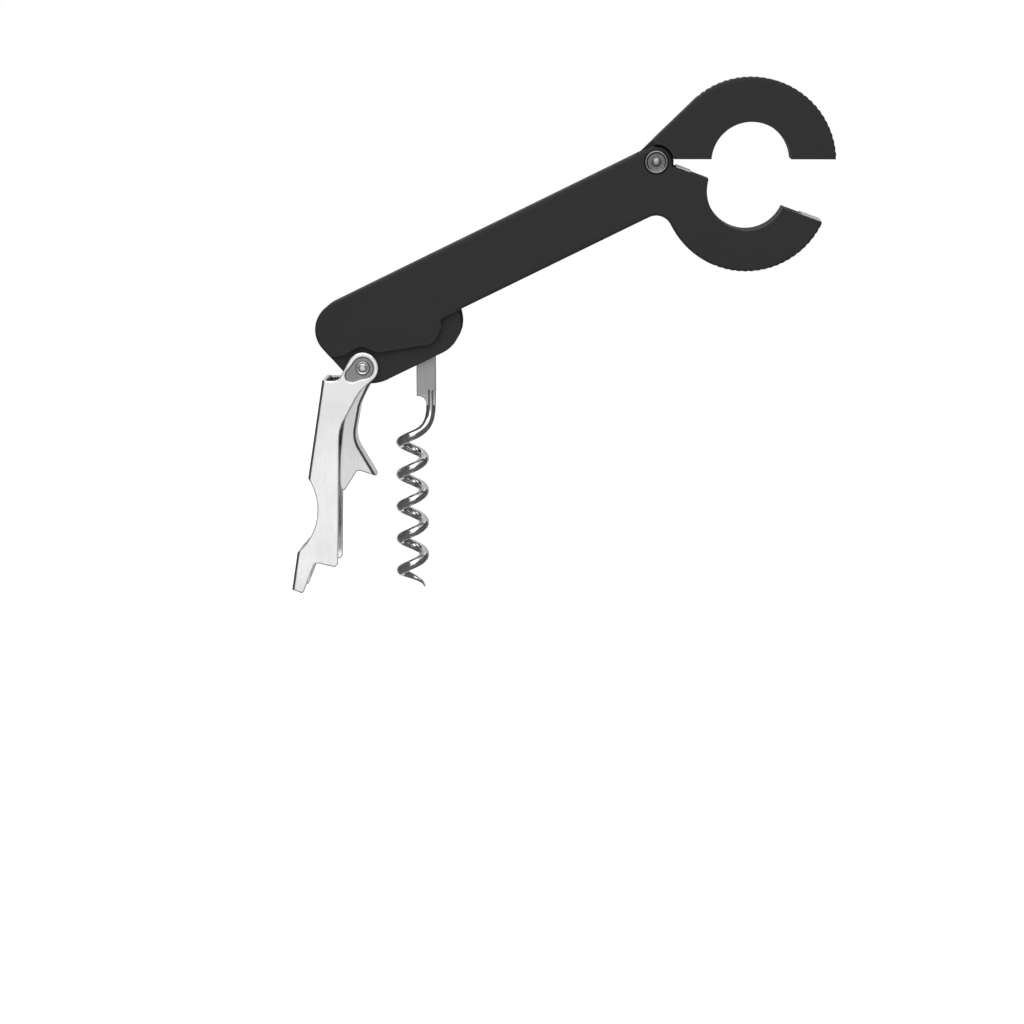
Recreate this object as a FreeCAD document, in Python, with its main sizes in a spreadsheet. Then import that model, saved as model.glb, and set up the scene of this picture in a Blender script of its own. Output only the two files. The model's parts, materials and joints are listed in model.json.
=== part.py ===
"""Double-lever waiter's corkscrew with cork pliers at the end of its handle.

The origin is on the worm's axis, level with the top of the cork it stands in.  +Z runs up the
bottle's axis, +X towards the pliers, +Y away from the front shell.  All lengths are millimetres.
Handle pieces are drawn in the handle's own frame: its origin is the lever pivot and x runs along
the handle.  Pieces of the moving jaw are drawn from the jaw pivot, with x along the jaw's flat.
"""
import FreeCAD, Part
import math
import os
import re

import Sketcher

Vector = FreeCAD.Vector

# alias, value, what it is
SIZES = [
    ("handle_tilt", 26.1, "rise of the handle above the horizontal, degrees"),
    ("lever_pivot_x", -13.4, "lever rivet from the worm's axis"),
    ("lever_pivot_z", 20.0, "lever rivet above the cork's top"),
    ("pivot_spacing", 99.1, "lever rivet to jaw rivet, along the handle"),
    ("top_edge", 20.0, "handle's top edge above the lever rivet"),
    ("under_edge", 2.8, "handle's underside above the lever rivet"),
    ("handle_width", 17.0, "over both shells"),
    ("channel_width", 10.2, "clear width between the frame plates"),
    ("plate_gauge", 1.0, "steel of the frame plates"),
    ("wall", 1.6, "shell walls round the rims"),
    ("edge_round", 1.0, "rounding of the shells' outer edges"),
    ("ear_radius", 4.3, "handle's ears round the jaw rivet"),
    ("fit_gap", 0.1, "clearance between seated pieces"),
    ("swing_gap", 0.3, "clearance beside a turning piece"),
    ("jaw_opening", 20.5, "angle between the open jaws' flats, degrees"),
    ("fixed_flat_turn", 46.6, "fixed flat below the handle's axis, degrees"),
    ("fixed_flat", 0.55, "fixed flat above the jaw rivet's axis"),
    ("moving_flat", 0.8, "moving flat above the jaw rivet's axis"),
    ("bore_reach", 26.35, "jaw rivet to the bores' centres, along the flats"),
    ("bore_radius", 11.1, "bores that grip the cork"),
    ("fixed_bore_rise", 1.37, "fixed bore's centre above the jaw rivet's axis"),
    ("moving_bore_rise", 0.0, "moving bore's centre above the jaw rivet's axis"),
    ("rim_radius", 23.8, "outer radius over the knurled rims"),
    ("knurl_depth", 0.45, "depth of the knurl"),
    ("knurl_pitch", 1.78, "spacing of the knurl's grooves"),
    ("fixed_knurl_start", 4.5, "first groove from the fixed flat, degrees"),
    ("fixed_knurl_span", 85.5, "fixed jaw's knurl, degrees"),
    ("moving_knurl_start", 3.0, "first groove from the moving flat, degrees"),
    ("moving_knurl_span", 125.5, "moving jaw's knurl, degrees"),
    ("fixed_rim_reach", 25.85, "fixed rim's centre along the flat"),
    ("fixed_rim_rise", 2.19, "fixed rim's centre above the jaw rivet's axis"),
    ("moving_rim_reach", 26.5, "moving rim's centre along the flat"),
    ("moving_rim_rise", 0.1, "moving rim's centre above the jaw rivet's axis"),
    ("land_height", 0.42, "steel lands above the fixed flat"),
    ("land_length", 4.3, "land beside the rivet, along the flat"),
    ("tip_land_length", 5.9, "land at the tip, along the flat"),
    ("tip_land_inset", 1.05, "land at the tip, in from the rim"),
    ("land_clearance", 1.3, "land beside the rivet, out from the ear"),
    ("neck_lift", 5.03, "moving jaw's straight back above the jaw rivet"),
    ("tongue_width", 9.2, "moving jaw's tongue between the washers"),
    ("core_width", 6.0, "steel core of the moving jaw"),
    ("eye_radius", 4.8, "round end of the tongue"),
    ("jaw_rivet_radius", 1.8, "shank of the jaw rivet"),
    ("jaw_head_radius", 3.25, "head of the jaw rivet"),
    ("lever_rivet_radius", 1.5, "shank of the lever rivet"),
    ("lever_head_radius", 2.0, "head of the lever rivet"),
    ("boot_width", 16.6, "over the boot lever's plates"),
    ("boot_gauge", 1.0, "sheet of the boot lever"),
    ("boot_ear_radius", 4.35, "boot lever's ears"),
    ("recess_radius", 3.1, "recess round the lever rivet"),
    ("recess_tail_radius", 2.0, "tail of that recess"),
    ("recess_depth", 0.4, "how deep that recess is pressed"),
    ("opener_radius", 16.2, "cap opener's notch"),
    ("step_width", 9.4, "over the first-step lever's plates"),
    ("step_gauge", 1.0, "sheet of the first-step lever"),
    ("step_ear_radius", 3.9, "first-step lever's ears"),
    ("worm_pin_along", 14.0, "worm pin from the lever rivet, along the handle"),
    ("worm_pin_up", 2.3, "worm pin above the lever rivet, square to the handle"),
    ("worm_pin_radius", 1.5, "worm pin"),
    ("wire_radius", 1.4, "worm's wire"),
    ("worm_width", 9.4, "over the worm's coil"),
    ("worm_pitch", 9.2, "rise of the coil for each turn"),
    ("worm_turns", 4.8, "turns of the coil"),
    ("shank_width", 5.4, "flattened shank, across"),
    ("shank_thick", 2.4, "flattened shank, front to back"),
    ("shank_foot", 11.4, "foot of the flattened shank above the cork's top"),
    ("shank_right", 6.7, "right side of the shank from the worm's axis"),
    ("bend_drop", 2.4, "start of the wire's bend below the shank's foot"),
    ("pin_radius", 1.0, "pins that hold shells, plates and cores together"),
    ("spacer_radius", 2.6, "spacer tubes between the frame plates"),
]

# alias, formula, what it is
DERIVED = [
    ("half", "handle_width / 2", "front face from the mid-plane"),
    ("cheek", "boot_width / 2 - boot_gauge - swing_gap", "cheek's face, inside the boot lever's plates"),
    ("channel", "channel_width / 2", "frame plate's inner face from the mid-plane"),
    ("plate_out", "channel + plate_gauge", "frame plate's outer face from the mid-plane"),
    ("jaw_up", "top_edge - ear_radius", "jaw rivet above the lever rivet, square to the handle"),
    ("jaw_x", "lever_pivot_x + pivot_spacing * cos(handle_tilt) - jaw_up * sin(handle_tilt)", ""),
    ("jaw_z", "lever_pivot_z + pivot_spacing * sin(handle_tilt) + jaw_up * cos(handle_tilt)", ""),
    ("jaw_turn", "handle_tilt - fixed_flat_turn + jaw_opening", "moving flat's rise, degrees"),
    ("worm_pin_x", "lever_pivot_x + worm_pin_along * cos(handle_tilt) - worm_pin_up * sin(handle_tilt)", ""),
    ("worm_pin_z", "lever_pivot_z + worm_pin_along * sin(handle_tilt) + worm_pin_up * cos(handle_tilt)", ""),
    ("rim_root", "rim_radius - knurl_depth", "rim at the bottom of the knurl"),
    ("fixed_rim_along", "pivot_spacing + fixed_rim_reach * cos(fixed_flat_turn)"
     " + fixed_rim_rise * sin(fixed_flat_turn)", ""),
    ("fixed_rim_up", "jaw_up - fixed_rim_reach * sin(fixed_flat_turn)"
     " + fixed_rim_rise * cos(fixed_flat_turn)", ""),
    ("back_turn", "(acos((neck_lift - rim_root) / sqrt(moving_rim_reach ^ 2 + moving_rim_rise ^ 2))"
     " + atan(moving_rim_rise / moving_rim_reach)) / 1deg", "square to the moving jaw's back"),
    ("coil_radius", "worm_width / 2 - wire_radius", "centre line of the coil"),
]

doc = FreeCAD.newDocument("waiters_corkscrew")
sheet = doc.addObject("Spreadsheet::Sheet", "Sizes")
workings = doc.addObject("Spreadsheet::Sheet", "Workings")
NAMES = [row[0] for row in SIZES + DERIVED]


def link(text):
    """The same formula with every size name pointing at the sheet."""
    word = re.compile(r"[a-z_]+")
    return word.sub(lambda m: "Sizes." + m.group() if m.group() in NAMES else m.group(), str(text))


def size(text):
    """The number that a formula over the sheet's names gives now."""
    workings.set("A1", "=" + link(text))
    workings.recompute()
    return float(workings.get("A1"))


for number, (alias, content, note) in enumerate(SIZES + DERIVED, start=1):
    formula = content if isinstance(content, float) else "=" + content
    sheet.set(f"A{number}", alias)
    sheet.set(f"B{number}", str(formula))
    sheet.set(f"C{number}", note)
    sheet.setAlias(f"B{number}", alias)
doc.recompute()


# ------------------------------------------------------------------ frames and sketches

FRAMES = {
    "world": ("0", "0", "0"),
    "handle": ("lever_pivot_x", "lever_pivot_z", "handle_tilt"),
    "jaw": ("jaw_x", "jaw_z", "jaw_turn"),
    "lever": ("lever_pivot_x", "lever_pivot_z", "0"),
}


def place(piece, frame):
    """Put a piece drawn in a frame where that frame is."""
    x, z, turn = FRAMES[frame]
    piece.Placement = FreeCAD.Placement(Vector(0, 0, 0), FreeCAD.Rotation(Vector(0, -1, 0), 0))
    piece.setExpression("Placement.Base.x", link(x))
    piece.setExpression("Placement.Base.z", link(z))
    piece.setExpression("Placement.Rotation.Angle", link(turn))


def body(name, frame):
    piece = doc.addObject("PartDesign::Body", name)
    piece.Label = name
    piece.AllowCompound = True
    place(piece, frame)
    return piece


def sketch(piece, height="0", at=("0", "0"), turn="0", plane="XZ_Plane"):
    """A sketch facing the front, height in front of the mid-plane, with its origin at `at`."""
    page = piece.newObject("Sketcher::SketchObject", "Sketch")
    support = [f for f in piece.Origin.OriginFeatures if f.Role == plane][0]
    page.AttachmentSupport = [(support, "")]
    page.MapMode = "FlatFace"
    page.AttachmentOffset = FreeCAD.Placement(Vector(0, 0, 0), FreeCAD.Rotation(Vector(0, 0, 1), 0))
    page.setExpression("AttachmentOffset.Base.x", link(at[0]))
    page.setExpression("AttachmentOffset.Base.y", link(at[1]))
    page.setExpression("AttachmentOffset.Base.z", link(height))
    page.setExpression("AttachmentOffset.Rotation.Angle", link(turn))
    return page


def tie(page, kind, *where):
    """A sketch constraint whose value, the last item, is a formula over the sheet."""
    formula = where[-1]
    index = page.addConstraint(Sketcher.Constraint(kind, *where[:-1], size(formula)))
    page.setExpression(f"Constraints[{index}]", link(formula))


def fix(page, element, end, x, z):
    tie(page, "DistanceX", element, end, x)
    tie(page, "DistanceY", element, end, z)


def ring(page, radius, x="0", z="0"):
    """A full circle."""
    centre = Vector(size(x), size(z), 0)
    circle = page.addGeometry(Part.Circle(centre, Vector(0, 0, 1), size(radius)))
    fix(page, circle, 3, x, z)
    tie(page, "Radius", circle, radius)


def outline(page, corners):
    """A closed outline through corners (x, z) or (x, z, radius), a radius rounding its corner."""
    count = len(corners)
    points = [Vector(size(c[0]), size(c[1]), 0) for c in corners]
    radii = [size(c[2]) if len(c) > 2 else 0.0 for c in corners]
    leave, arrive, centres = [], [], []
    for i, point in enumerate(points):
        back = (points[i - 1] - point).normalize()
        ahead = (points[(i + 1) % count] - point).normalize()
        half_angle = back.getAngle(ahead) / 2
        run = radii[i] / math.tan(half_angle)
        arrive.append(point + back * run)
        leave.append(point + ahead * run)
        bisector = back + ahead
        reach = math.hypot(run, radii[i])
        centres.append(point + bisector.normalize() * reach if radii[i] else None)
    lines = [page.addGeometry(Part.LineSegment(leave[i], arrive[(i + 1) % count]))
             for i in range(count)]
    for i, corner in enumerate(corners):
        before, after = lines[i - 1], lines[i]
        if not radii[i]:
            page.addConstraint(Sketcher.Constraint("Coincident", before, 2, after, 1))
            fix(page, after, 1, corner[0], corner[1])
            continue
        left = (arrive[i] - centres[i]).cross(leave[i] - centres[i]).z > 0
        first, last = (arrive[i], leave[i]) if left else (leave[i], arrive[i])
        circle = Part.Circle(centres[i], Vector(0, 0, 1), radii[i])
        arc = page.addGeometry(Part.ArcOfCircle(circle, circle.parameter(first),
                                                circle.parameter(last)))
        apex = page.addGeometry(Part.Point(points[i]), True)
        fix(page, apex, 1, corner[0], corner[1])
        page.addConstraint(Sketcher.Constraint("PointOnObject", apex, 1, before))
        page.addConstraint(Sketcher.Constraint("PointOnObject", apex, 1, after))
        page.addConstraint(Sketcher.Constraint("Tangent", arc, 1 if left else 2, before, 2))
        page.addConstraint(Sketcher.Constraint("Tangent", arc, 2 if left else 1, after, 1))
        tie(page, "Radius", arc, corner[2])


def half_ring(page, outer, inner, level, above):
    """Half a ring cut at a level: outer and inner are (x, z, radius), kept above or below."""
    ends = []
    for x, z, radius in (outer, inner):
        drop = size(level) - size(z)
        reach = (size(radius) ** 2 - drop ** 2) ** 0.5
        centre = Vector(size(x), size(z), 0)
        right = centre + Vector(reach, drop, 0)
        left = centre + Vector(-reach, drop, 0)
        circle = Part.Circle(centre, Vector(0, 0, 1), size(radius))
        first, last = (right, left) if above else (left, right)
        arc = page.addGeometry(Part.ArcOfCircle(circle, circle.parameter(first),
                                                circle.parameter(last)))
        fix(page, arc, 3, x, z)
        tie(page, "Radius", arc, radius)
        ends.append((arc, left, right))
    (outer_arc, outer_left, outer_right), (inner_arc, inner_left, inner_right) = ends
    right_end, left_end = (1, 2) if above else (2, 1)
    for start, stop, end in ((outer_right, inner_right, right_end), (outer_left, inner_left, left_end)):
        flat = page.addGeometry(Part.LineSegment(start, stop))
        page.addConstraint(Sketcher.Constraint("Coincident", outer_arc, end, flat, 1))
        page.addConstraint(Sketcher.Constraint("Coincident", inner_arc, end, flat, 2))
        tie(page, "DistanceY", flat, 1, level)
        tie(page, "DistanceY", flat, 2, level)


# ------------------------------------------------------------------ features

def pad(piece, page, depth, middle=False):
    """Thicken a sketch towards the front, or both ways from it."""
    feature = piece.newObject("PartDesign::Pad", "Pad")
    feature.Profile = page
    feature.SideType = "Symmetric" if middle else "One side"
    feature.setExpression("Length", link(depth))
    doc.recompute()
    return feature


def cut(piece, page, depth, middle=False):
    """Cut a sketch away towards the front, or both ways from it, and see that it removed metal."""
    before = piece.Shape.Volume
    feature = piece.newObject("PartDesign::Pocket", "Pocket")
    feature.Profile = page
    feature.SideType = "Symmetric" if middle else "One side"
    feature.Reversed = not middle
    feature.setExpression("Length", link(depth))
    doc.recompute()
    if not piece.Shape.Volume < before - 1e-6:
        raise RuntimeError(f"{piece.Label}: {feature.Name} removes nothing")
    return feature


def soften(piece, radius, wanted):
    """Round the edges of the body that the test picks out, and see that it removed or added metal."""
    before = piece.Shape.Volume
    edges = [f"Edge{i}" for i, edge in enumerate(piece.Shape.Edges, start=1) if wanted(edge)]
    tip = piece.Tip
    feature = piece.newObject("PartDesign::Fillet", "Fillet")
    feature.Base = (tip, edges)
    feature.setExpression("Radius", link(radius))
    doc.recompute()
    if not piece.Shape.isValid() or abs(piece.Shape.Volume - before) < 1e-6:
        raise RuntimeError(f"{piece.Label}: {feature.Name} rounds nothing")
    return feature


def nearest_edge(piece, edges, x, y, z):
    """Test for the one of the edges that passes nearest a point of the piece's frame."""
    spot = Part.Vertex(piece.Placement.multVec(Vector(size(x), size(y), size(z))))
    nearest = min(edges, key=lambda edge: edge.distToShape(spot)[0])
    return lambda edge: edge.isSame(nearest)


def face_edge(piece, y, x, z):
    """Test for the edge that lies at depth y and passes nearest (x, z); its tangent run follows it."""
    depth = size(y)
    flat = [e for e in piece.Shape.Edges
            if abs(e.BoundBox.YMin - depth) + abs(e.BoundBox.YMax - depth) < 1e-4]
    return nearest_edge(piece, flat, x, y, z)


def upright_at(piece, x, z):
    """Test for the edge square to the sketches that passes nearest (x, z)."""
    upright = [e for e in piece.Shape.Edges if e.BoundBox.XLength + e.BoundBox.ZLength < 1e-4]
    return nearest_edge(piece, upright, x, "0", z)


def pin(name, frame, radius, half_length, places):
    """Round pins square to the handle, one at each (x, z) of the frame."""
    piece = body(name, frame)
    page = sketch(piece)
    for x, z in places:
        ring(page, radius, x, z)
    pad(piece, page, f"2 * ({half_length})", middle=True)
    return piece


def turned(name, frame, corners, at=("0", "0")):
    """A piece turned about the y direction through `at`, from corners (radius, y)."""
    piece = body(name, frame)
    page = sketch(piece, plane="XY_Plane")
    page.setExpression("AttachmentOffset.Base.x", link(at[0]))
    page.setExpression("AttachmentOffset.Base.z", link(at[1]))
    outline(page, corners)
    feature = piece.newObject("PartDesign::Revolution", "Revolution")
    feature.Profile = page
    feature.ReferenceAxis = (page, ["V_Axis"])
    feature.Angle = 360
    doc.recompute()
    return piece


def mirrored(name, source):
    """The same piece on the other side of the mid-plane."""
    twin = doc.addObject("Part::Mirroring", name)
    twin.Source = source
    twin.Base = Vector(0, 0, 0)
    twin.Normal = Vector(0, 1, 0)
    twin.Label = name
    doc.recompute()
    return twin


# ------------------------------------------------------------------ the handle

# places in the handle's frame
SPACER_RISE = "top_edge - 5.6"
SPACERS = [("6", SPACER_RISE), ("34", SPACER_RISE), ("60", SPACER_RISE),
           ("pivot_spacing - 15.1", SPACER_RISE)]
JAW_PIN_ANGLES = (35, 90, 145)
BLEND_RADIUS = 4.5

# along the flat from the jaw rivet: one land beside the rivet and one at the tip
TIP_LAND = "fixed_rim_reach + rim_radius - tip_land_inset"
LANDS = (("ear_radius + land_clearance", "ear_radius + land_clearance + land_length"),
         (f"{TIP_LAND} - tip_land_length", TIP_LAND))


def land(first, last):
    """Low step that stands proud of the fixed flat."""
    return [(first, "fixed_flat - 1"), (last, "fixed_flat - 1"),
            (last, "fixed_flat + land_height"), (first, "fixed_flat + land_height")]


def handle_bar(inset):
    """Outline of head and bar, set in by an amount from the shell's edges."""
    neck_reach = f"(bore_reach - bore_radius - 1.2 - ({inset}))"
    return [
        (f"-10.8 + 1.33 * ({inset})", f"top_edge - ({inset})", "8.05"),
        (f"-3.29 + 0.75 * ({inset})", f"-6 + ({inset})", f"10.5 - ({inset})"),
        (f"29.3 - 0.8 * ({inset})", f"-6 + ({inset})", f"9 - ({inset})"),
        (f"31.35 - ({inset})", f"under_edge + 0.5 * ({inset})", "0.4"),
        ("pivot_spacing + 0.9", f"under_edge + 0.5 * ({inset})"),
        (f"pivot_spacing + {neck_reach} * cos(fixed_flat_turn) + flat_here * sin(fixed_flat_turn)",
         f"jaw_up - {neck_reach} * sin(fixed_flat_turn) + flat_here * cos(fixed_flat_turn)"),
        ("pivot_spacing + 3.5 * cos(fixed_flat_turn) + flat_here * sin(fixed_flat_turn)",
         "jaw_up - 3.5 * sin(fixed_flat_turn) + flat_here * cos(fixed_flat_turn)"),
        ("pivot_spacing", f"top_edge - ({inset})"),
    ]


def on_flat(corners, level):
    """The corners with `flat_here` standing for the fixed flat's level."""
    return [tuple(text.replace("flat_here", f"({level})") for text in corner) for corner in corners]


AT_JAW = dict(at=("pivot_spacing", "jaw_up"), turn="-fixed_flat_turn")


def fixed_ring(inset, level):
    rim = ("fixed_rim_reach", "fixed_rim_rise", f"rim_root - ({inset})")
    bore = ("bore_reach", "fixed_bore_rise", f"bore_radius + ({inset})")
    return rim, bore, level, False


def knurl(piece, at, first, span, reverse):
    """Grooves across a rim: the first at an angle about the rim's centre, the rest in a pattern."""
    count = max(2, round(size(f"{span} * pi / 180 * rim_radius / knurl_pitch")))
    page = sketch(piece, at=at, turn=first)
    ring(page, "0.55 * knurl_pitch", "rim_radius + 0.2 * knurl_pitch", "0")
    groove = cut(piece, page, "handle_width", middle=True)
    pattern = piece.newObject("PartDesign::PolarPattern", "Knurl")
    pattern.Originals = [groove]
    pattern.Axis = (page, ["N_Axis"])
    pattern.setExpression("Angle", link(span))
    pattern.Occurrences = count
    pattern.Reversed = reverse
    piece.Tip = pattern
    doc.recompute()


def shell():
    """Front half of the moulded handle, with its fixed jaw."""
    piece = body("front_shell", "handle")
    page = sketch(piece)
    outline(page, on_flat(handle_bar("0"), "fixed_flat"))
    pad(piece, page, "half")
    page = sketch(piece)
    ring(page, "ear_radius", "pivot_spacing", "jaw_up")
    pad(piece, page, "half")
    page = sketch(piece, **AT_JAW)
    half_ring(page, *fixed_ring("0", "fixed_flat"))
    pad(piece, page, "half")
    soften(piece, BLEND_RADIUS, upright_at(piece, "fixed_rim_along - rim_root", "under_edge"))
    soften(piece, "0.5", upright_at(piece, "pivot_spacing + ear_radius", "jaw_up - 0.2 * ear_radius"))
    soften(piece, "edge_round", face_edge(piece, "-half", "pivot_spacing / 2", "top_edge"))
    # raised face ends above the lever; the cheek below it is thinner
    page = sketch(piece, height="cheek")
    outline(page, [
        ("-11", "7.9"), ("-3.1", "5.5", "1.5"), ("2.3", "5.9", "2.5"), ("5.7", "2.05", "3"),
        ("21", "-2.6", "4"), ("25", "0.5", "1.5"), ("25.8", "under_edge", "0.5"),
        ("33", "under_edge"), ("33", "-9"), ("-11", "-9"),
    ])
    cut(piece, page, "half - cheek + 1")
    # room for the plates, the worm and the first-step lever, open along the underside
    page = sketch(piece)
    outline(page, [
        ("-10.8 + 1.33 * wall", "top_edge - wall", "6.4"),
        ("-10.8 + 1.04 * wall + 0.289 * (top_edge - 6)", "6"), ("-12", "2"), ("-12", "-9"),
        ("pivot_spacing - 7.1", "-9"), ("pivot_spacing - 7.1", "0"), ("pivot_spacing + 4.9", "0"),
        ("pivot_spacing + 8", "jaw_up"), ("pivot_spacing", "top_edge - wall"),
    ])
    cut(piece, page, "plate_out")
    page = sketch(piece, **AT_JAW)
    half_ring(page, *fixed_ring("wall", "fixed_flat + 0.01"))
    cut(piece, page, "plate_out")
    # seat of the land at the tip: the land beside the rivet stands in the open bar already
    first, last = f"{LANDS[-1][0]} - fit_gap", f"{LANDS[-1][1]} + fit_gap"
    page = sketch(piece, **AT_JAW)
    outline(page, [
        (first, "fixed_flat - 1 - fit_gap"), (last, "fixed_flat - 1 - fit_gap"),
        (last, "fixed_flat + 1"), (first, "fixed_flat + 1"),
    ])
    cut(piece, page, "plate_out")
    # slot for the moving jaw's tongue and its heel
    page = sketch(piece)
    outline(page, [
        ("pivot_spacing - 4.2", "top_edge + 3"), ("pivot_spacing - 4.2", "top_edge - 9"),
        ("pivot_spacing + 12", "top_edge - 9"), ("pivot_spacing + 12", "top_edge + 3"),
    ])
    cut(piece, page, "plate_out")
    # rivet holes
    page = sketch(piece)
    ring(page, "lever_rivet_radius + fit_gap")
    ring(page, "jaw_rivet_radius + fit_gap", "pivot_spacing", "jaw_up")
    cut(piece, page, "half")
    page = sketch(piece, height="half - 0.9")
    ring(page, "jaw_head_radius + 0.2", "pivot_spacing", "jaw_up")
    cut(piece, page, "1")
    # blind holes for the pins
    page = sketch(piece)
    for x, z in SPACERS + jaw_pins():
        ring(page, "pin_radius + fit_gap / 2", x, z)
    cut(piece, page, "plate_out + 1.2")
    knurl(piece, ("fixed_rim_along", "fixed_rim_up"), "-fixed_flat_turn - fixed_knurl_start",
          "fixed_knurl_span", True)
    return piece


def jaw_pins():
    """Pins through the fixed jaw, in the handle's frame."""
    middle = "((rim_root + bore_radius) / 2)"
    return [(f"fixed_rim_along + {middle} * cos(fixed_flat_turn + {a})",
             f"fixed_rim_up - {middle} * sin(fixed_flat_turn + {a})") for a in JAW_PIN_ANGLES]


def frame_plate():
    """Front steel plate: a bar behind the shell that runs on into the fixed jaw."""
    piece = body("front_frame_plate", "handle")
    inset = "(wall + fit_gap)"
    page = sketch(piece, height="channel")
    outline(page, on_flat(handle_bar(inset), "fixed_flat - 0.3"))
    pad(piece, page, "plate_gauge")
    page = sketch(piece, height="channel")
    ring(page, "ear_radius", "pivot_spacing", "jaw_up")
    pad(piece, page, "plate_gauge")
    page = sketch(piece, height="channel", **AT_JAW)
    half_ring(page, *fixed_ring(inset, "fixed_flat - 0.3"))
    pad(piece, page, "plate_gauge")
    for first, last in LANDS:
        page = sketch(piece, height="channel", **AT_JAW)
        outline(page, land(first, last))
        pad(piece, page, "plate_gauge")
    page = sketch(piece)
    ring(page, "lever_rivet_radius + fit_gap / 2")
    ring(page, "worm_pin_radius + fit_gap / 2", "worm_pin_along", "worm_pin_up")
    ring(page, "jaw_rivet_radius + fit_gap / 2", "pivot_spacing", "jaw_up")
    for x, z in SPACERS + jaw_pins():
        ring(page, "pin_radius + fit_gap / 2", x, z)
    cut(piece, page, "plate_out + 1")
    return piece


def fixed_core():
    """Cast core between the frame plates in the fixed jaw."""
    piece = body("fixed_jaw_core", "handle")
    inset = "(wall + fit_gap)"
    page = sketch(piece, **AT_JAW)
    half_ring(page, *fixed_ring(inset, "fixed_flat - 0.3"))
    pad(piece, page, "channel_width", middle=True)
    near_land, tip_land = LANDS
    for first, last in (("eye_radius", near_land[1]), tip_land):
        page = sketch(piece, **AT_JAW)
        outline(page, land(first, last))
        pad(piece, page, "channel_width", middle=True)
    page = sketch(piece)
    for x, z in jaw_pins():
        ring(page, "pin_radius + fit_gap / 2", x, z)
    cut(piece, page, "channel_width + 2", middle=True)
    page = sketch(piece)
    ring(page, "eye_radius + 2 * swing_gap + 0.2", "pivot_spacing", "jaw_up")
    cut(piece, page, "channel_width + 2", middle=True)
    return piece


def tubes(name, outer, inner, near, far, frame, places):
    """Round tubes square to the handle, the same on both sides of the mid-plane."""
    piece = body(name, frame)
    for side in (1, -1):
        page = sketch(piece, height=near if side > 0 else f"-({far})")
        for x, z in places:
            ring(page, outer, x, z)
            ring(page, inner, x, z)
        pad(piece, page, f"{far} - ({near})")
    return piece


front_shell = shell()
back_shell = mirrored("back_shell", front_shell)
front_frame_plate = frame_plate()
back_frame_plate = mirrored("back_frame_plate", front_frame_plate)
fixed_jaw_core = fixed_core()

frame_spacers = body("frame_spacers", "handle")
spacer_page = sketch(frame_spacers)
for x, z in SPACERS:
    ring(spacer_page, "spacer_radius", x, z)
    ring(spacer_page, "pin_radius + fit_gap / 2", x, z)
pad(frame_spacers, spacer_page, "channel_width", middle=True)

shell_pins = pin("shell_pins", "handle", "pin_radius", "plate_out + 1.1", SPACERS + jaw_pins())
worm_pin = pin("worm_pin", "handle", "worm_pin_radius", "plate_out",
               [("worm_pin_along", "worm_pin_up")])


def rivet(name, at, shank, head, seat, rise):
    """A rivet with a flat-rimmed head and a low button on each side, across the whole handle."""
    top = f"({seat} + {rise})"
    return turned(name, "handle", [
        ("0", f"-{top} - 0.15"), (f"0.35 * {head}", f"-{top} - 0.15", "0.1"),
        (f"0.42 * {head}", f"-{top} + 0.1"), (f"0.86 * {head}", f"-{top} + 0.1"),
        (f"0.9 * {head}", f"-{top}"), (head, f"-{top} + 0.15"), (head, f"-({seat})"), (shank, f"-({seat})"),
        (shank, seat), (head, seat), (head, f"{top} - 0.15"), (f"0.9 * {head}", top),
        (f"0.86 * {head}", f"{top} - 0.1"), (f"0.42 * {head}", f"{top} - 0.1"),
        (f"0.35 * {head}", f"{top} + 0.15", "0.1"), ("0", f"{top} + 0.15"),
    ], at)


jaw_rivet = rivet("jaw_rivet", ("pivot_spacing", "jaw_up"), "jaw_rivet_radius", "jaw_head_radius",
                  "half - 0.9", "0.85")
lever_rivet = rivet("lever_rivet", ("0", "0"), "lever_rivet_radius", "lever_head_radius",
                    "boot_width / 2 + 0.05", "0.5")
jaw_washers = tubes("jaw_washers", "ear_radius - 0.3", "jaw_rivet_radius + fit_gap",
                    "tongue_width / 2 + 0.05", "channel - 0.05", "handle", [("pivot_spacing", "jaw_up")])
first_step_washers = tubes("first_step_washers", "2.6", "lever_rivet_radius + fit_gap",
                           "step_width / 2 + 0.05", "channel - 0.05", "handle", [("0", "0")])
worm_bushes = tubes("worm_bushes", "2.2", "worm_pin_radius + fit_gap",
                    "shank_thick / 2 + 0.1", "channel - 0.1", "handle",
                    [("worm_pin_along", "worm_pin_up")])


# ------------------------------------------------------------------ the moving jaw

def moving_ring(inset, level):
    rim = ("moving_rim_reach", "moving_rim_rise", f"rim_root - ({inset})")
    bore = ("bore_reach", "moving_bore_rise", f"bore_radius + ({inset})")
    return rim, bore, level, True


def neck(inset, level):
    """Neck of the moving jaw: heel, straight back that runs into the rim, and the flat."""
    lift = f"(neck_lift - ({inset}))"
    heel = f"(2.2 - ({inset}))"
    return [
        (f"{lift} * cos(back_turn) - {heel} * sin(back_turn)",
         f"{lift} * sin(back_turn) + {heel} * cos(back_turn)"),
        (f"moving_rim_reach + (rim_root - ({inset}) - 0.02) * cos(back_turn)",
         f"moving_rim_rise + (rim_root - ({inset}) - 0.02) * sin(back_turn)"),
        (f"bore_reach - bore_radius - 1 - ({inset})", level),
        ("0", level),
    ]


def moving_pins():
    """Pins through the moving jaw, in its own frame."""
    middle = "((rim_root + bore_radius) / 2)"
    return [(f"moving_rim_reach + {middle} * cos({a})", f"moving_rim_rise + {middle} * sin({a})")
            for a in JAW_PIN_ANGLES]


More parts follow.
